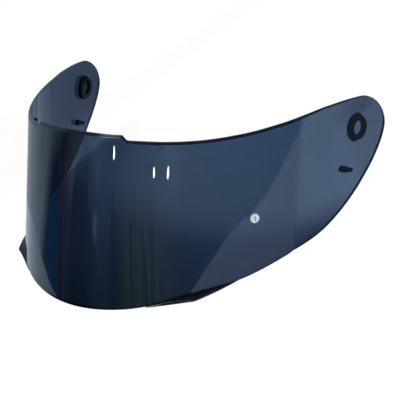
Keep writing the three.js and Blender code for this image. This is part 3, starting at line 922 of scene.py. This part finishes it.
WHITE = (0.50, 0.70, 1.02)
board("board_front", [
    (0.060, -0.070), (0.080, -0.076), (0.114, -0.095), (0.169, -0.115), (0.218, -0.118), (0.252, -0.107),
    (0.270, -0.086), (0.267, -0.064), (0.260, -0.040), (0.262, -0.012), (0.292, 0.018), (0.328, 0.050),
    (0.382, 0.104), (0.413, 0.121), (0.345, 0.090), (0.291, 0.068), (0.247, 0.052), (0.210, 0.039),
    (0.178, 0.028), (0.151, 0.018), (0.126, 0.009), (0.104, 0.000), (0.095, -0.016), (0.080, -0.044)],
    WHITE, -0.00010)
board("board_side", [
    (0.104, 0.000), (0.126, 0.009), (0.151, 0.018), (0.178, 0.028), (0.210, 0.039), (0.247, 0.052),
    (0.291, 0.068), (0.345, 0.090), (0.413, 0.121), (0.700, 0.260), (1.400, 0.900), (0.100, 0.900),
    (0.100, 0.100)], (0.14, 0.20, 0.33), -0.00012)
board("strip_side", [
    (0.310, 0.160), (0.372, 0.200), (0.410, 0.222), (0.330, 0.260), (0.285, 0.228), (0.240, 0.186)],
    (0.01, 0.015, 0.03), -0.00008)
board("board_left", [
    (-0.020, -0.104), (-0.030, -0.085), (-0.070, -0.060), (-0.095, -0.020), (-0.110, 0.000), (-0.135, -0.020),
    (-0.150, -0.060), (-0.142, -0.090), (-0.112, -0.102), (-0.081, -0.111), (-0.050, -0.110)],
    (0.56, 0.68, 0.80), -0.00010)

# the room as the sheet mirrors it: bearing from the front (towards +X positive) and height above the horizon, degrees
world = bpy.data.worlds.new("studio")
bpy.context.scene.world = world
world.use_nodes = True
n = Nodes(world.node_tree)
ray = n.new("ShaderNodeTexCoord").outputs["Generated"]
axes = n.new("ShaderNodeSeparateXYZ")
n.put(axes.inputs[0], ray)
bearing = n.math("MULTIPLY", n.math("ARCTAN2", axes.outputs["X"], n.math("MULTIPLY", axes.outputs["Y"], -1.0)),
                 180 / math.pi)
height = n.math("MULTIPLY", n.math("ARCSINE", axes.outputs["Z"]), 180 / math.pi)


def bands(value, stops):
    """Colour along a scale of degrees, easing from stop to stop."""
    ramp = n.new("ShaderNodeValToRGB")
    first, last = stops[0][0], stops[-1][0]
    ramp.color_ramp.interpolation = "LINEAR"
    e = ramp.color_ramp.elements
    while len(e) < len(stops):
        e.new(0.5)
    for k, (at, colour) in enumerate(stops):
        e[k].position = (at - first) / (last - first)
        e[k].color = (*colour, 1)
    n.put(ramp.inputs["Fac"], n.span(value, first, last, 0.0, 1.0))
    return ramp.outputs["Color"]


def gated(value, a, b, c, d):
    """One between b and c, easing to nothing at a and d."""
    return n.math("MULTIPLY", n.span(value, a, b, 0.0, 1.0), n.span(value, c, d, 1.0, 0.0))


def over(below, amount, colour):
    return n.mix(amount, below, (*colour, 1))


# high up the room is a pale wall, lower down dark furniture in fine upright streaks
upper = bands(bearing, [
    (-70, (0.04, 0.07, 0.12)), (-47, (0.05, 0.09, 0.13)), (-38, (0.20, 0.28, 0.38)), (-28, (0.18, 0.29, 0.42)),
    (-13, (0.23, 0.40, 0.65)), (-3, (0.14, 0.28, 0.40)), (14, (0.08, 0.17, 0.24)), (24, (0.05, 0.09, 0.11)), (37, (0.04, 0.08, 0.09)),
    (40, (0.30, 0.42, 0.62)), (47, (0.27, 0.40, 0.64)), (56, (0.06, 0.11, 0.22)), (75, (0.10, 0.16, 0.32)),
    (85, (0.10, 0.16, 0.30))])
lower = bands(bearing, [
    (-70, (0.03, 0.08, 0.14)), (-56, (0.03, 0.05, 0.09)), (-50, (0.07, 0.05, 0.07)), (-44, (0.08, 0.08, 0.05)),
    (-36, (0.01, 0.02, 0.01)), (-20, (0.01, 0.02, 0.01)), (-12, (0.06, 0.10, 0.11)), (-4, (0.04, 0.07, 0.07)),
    (3, (0.01, 0.02, 0.01)), (10, (0.09, 0.14, 0.02)), (20, (0.11, 0.15, 0.06)), (30, (0.11, 0.17, 0.07)),
    (36, (0.14, 0.21, 0.19)), (43, (0.12, 0.19, 0.22)), (50, (0.09, 0.15, 0.25)), (65, (0.09, 0.20, 0.36))])
stretch = n.new("ShaderNodeCombineXYZ")
n.put(stretch.inputs[0], bearing)
n.put(stretch.inputs[1], n.math("MULTIPLY", height, 0.05))
streak = n.noise(stretch.outputs[0], 0.42, 4.0, 0.75)
hair = n.noise(n.scaled(stretch.outputs[0], (1.0, 1.5, 1.0)), 0.70, 2.0, 0.6)
calm = n.span(bearing, 26.0, 42.0, 1.0, 0.10)


def streaked(colour, low, high):
    s = n.new("ShaderNodeVectorMath", operation="SCALE")
    n.put(s.inputs[0], colour)
    both = n.math("ADD", n.math("MULTIPLY", streak, 0.6), n.math("MULTIPLY", hair, 0.4))
    n.put(s.inputs["Scale"], n.math("MULTIPLY_ADD", n.span(both, 0.42, 0.58, low - 1, high - 1), calm, 1.0))
    return s.outputs[0]


rise = n.math("ADD", height, n.span(streak, 0.36, 0.64, -2.2, 2.2))
front = n.mix(n.span(rise, n.span(bearing, -24.0, -10.0, 6.3, 4.5), n.span(bearing, -24.0, -10.0, 10.6, 11.5), 0.0, 1.0), streaked(lower, 0.15, 2.3), streaked(upper, 0.78, 1.22))
# deep blue door frame, a pale post and two small bright windows
front = over(front, n.math("MULTIPLY", gated(bearing, -67.0, -63.0, -59.0, -56.5), n.span(height, -3.5, -1.5, 1.0, 0.0)),
             (0.0, 0.13, 0.40))
slant = n.math("MULTIPLY_ADD", n.math("SUBTRACT", height, 4.0), -0.9, bearing)
post = n.math("MULTIPLY", gated(slant, -50.5, -42.0, -40.0, -38.2), gated(height, 1.5, 4.5, 7.0, 15.0))
front = over(front, n.math("MULTIPLY", post, n.span(streak, 0.36, 0.64, 0.45, 1.0)), (0.30, 0.41, 0.54))
front = over(front, n.math("MULTIPLY", gated(bearing, -17.5, -15.5, -13.8, -12.0), gated(height, 3.6, 5.0, 6.0, 7.4)),
             (0.45, 0.60, 0.90))
front = over(front, n.math("MULTIPLY", gated(bearing, -17.0, -15.5, -14.5, -12.5), gated(height, 8.0, 9.0, 11.0, 12.0)),
             (0.34, 0.55, 0.85))
# white sheet hung at the wearer's right and behind
edge_at = n.math("MAXIMUM", n.math("MULTIPLY_ADD", height, 1.52, -62.3),
                 n.math("MULTIPLY_ADD", height, 0.95, -63.3))
sheet = n.span(n.math("SUBTRACT", bearing, edge_at), -4.0, 3.0, 1.0, 0.0)
behind = n.span(bearing, 140.0, 165.0, 0.0, 1.0)
cover = n.math("MULTIPLY", n.math("MAXIMUM", sheet, behind), n.span(height, 36.0, 42.0, 1.0, 0.0))
hung = bands(bearing, [(-180, (0.35, 0.47, 0.61)), (-112, (0.33, 0.39, 0.45)), (-99, (0.38, 0.46, 0.55)),
                       (-89, (0.44, 0.54, 0.66)), (-80, (0.46, 0.57, 0.73)), (-73, (0.52, 0.64, 0.84)),
                       (-60, (0.48, 0.58, 0.78))])
hung = n.mix(behind, hung, (0.24, 0.34, 0.53, 1))
ceiling = n.mix(n.span(height, 18.0, 40.0, 0.0, 1.0), front, (0.04, 0.06, 0.09, 1))
around = n.mix(cover, ceiling, hung)
# narrow high window behind, for the glint on the top edge
glint = n.math("MULTIPLY", gated(bearing, -160.0, -156.0, -140.0, -136.0), gated(height, 27.5, 29.5, 33.5, 35.5))
around = over(around, glint, (5.0, 5.3, 5.6))
# soft light overhead in front
soft_x = n.span(n.math("ABSOLUTE", n.math("ADD", bearing, 2.0)), 34.0, 30.0, 0.0, 1.0)
soft_y = n.math("MULTIPLY", n.span(height, 42.0, 46.0, 0.0, 1.0), n.span(height, 70.0, 74.0, 1.0, 0.0))
around = n.mix(n.math("MULTIPLY", soft_x, soft_y), around, (2.2, 2.3, 2.4, 1))

path = n.new("ShaderNodeLightPath")
mirrored_room = n.new("ShaderNodeBackground")
n.put(mirrored_room.inputs["Color"], around)
soft = n.new("ShaderNodeBackground")
soft.inputs["Color"].default_value = (0.87, 1.0, 1.10, 1)
soft.inputs["Strength"].default_value = 0.66
seen = n.new("ShaderNodeBackground")
n.put(seen.inputs["Color"], n.mix(n.math("GREATER_THAN", path.outputs["Transparent Depth"], 0.5),
                                  (1, 1, 1, 1), (0.95, 0.88, 0.74, 1)))
m1 = n.new("ShaderNodeMixShader")
n.put(m1.inputs[0], path.outputs["Is Glossy Ray"])
n.put(m1.inputs[1], soft.outputs[0])
n.put(m1.inputs[2], mirrored_room.outputs[0])
m2 = n.new("ShaderNodeMixShader")
n.put(m2.inputs[0], path.outputs["Is Camera Ray"])
n.put(m2.inputs[1], m1.outputs[0])
n.put(m2.inputs[2], seen.outputs[0])
out = n.new("ShaderNodeOutputWorld")
n.put(out.inputs["Surface"], m2.outputs[0])

key = bpy.data.lights.new("key", "SUN")
key.color = (1.20, 1.0, 0.84)
key.energy = 2.42
key.angle = math.radians(19)
key_object = bpy.data.objects.new("key", key)
bpy.context.scene.collection.objects.link(key_object)
key_object.rotation_mode = "QUATERNION"
key_object.rotation_quaternion = Vector((-0.1710, -0.4698, 0.8660)).to_track_quat("Z", "Y")

# three small lamps whose images stand on the upper front
for i, (s, z, ray, wide, tall) in enumerate((
        (36.6, 39.3, (0.020, -0.976, 0.216), 0.060, 0.046),
        (60.6, 25.9, (0.533, -0.833, 0.149), 0.036, 0.034),
        (69.1, 24.5, (0.646, -0.754, 0.117), 0.036, 0.034))):
    lamp = bpy.data.lights.new(f"lamp_{i + 1}", "AREA")
    lamp.shape = "ELLIPSE"
    lamp.size, lamp.size_y = wide, tall
    lamp.color = (0.90, 0.97, 1.0)
    lamp.energy = 30 * math.pi * math.pi / 4 * wide * tall
    o = bpy.data.objects.new(f"lamp_{i + 1}", lamp)
    bpy.context.scene.collection.objects.link(o)
    ray = Vector(ray).normalized()
    o.location = Vector(skin(s, z)) * MM + ray * 2.0
    o.rotation_mode = "QUATERNION"
    o.rotation_quaternion = ray.to_track_quat("Z", "Y")
    o.visible_camera = False

bpy.context.scene.view_settings.view_transform = "Standard"
bpy.context.scene.cycles.transparent_max_bounces = 24
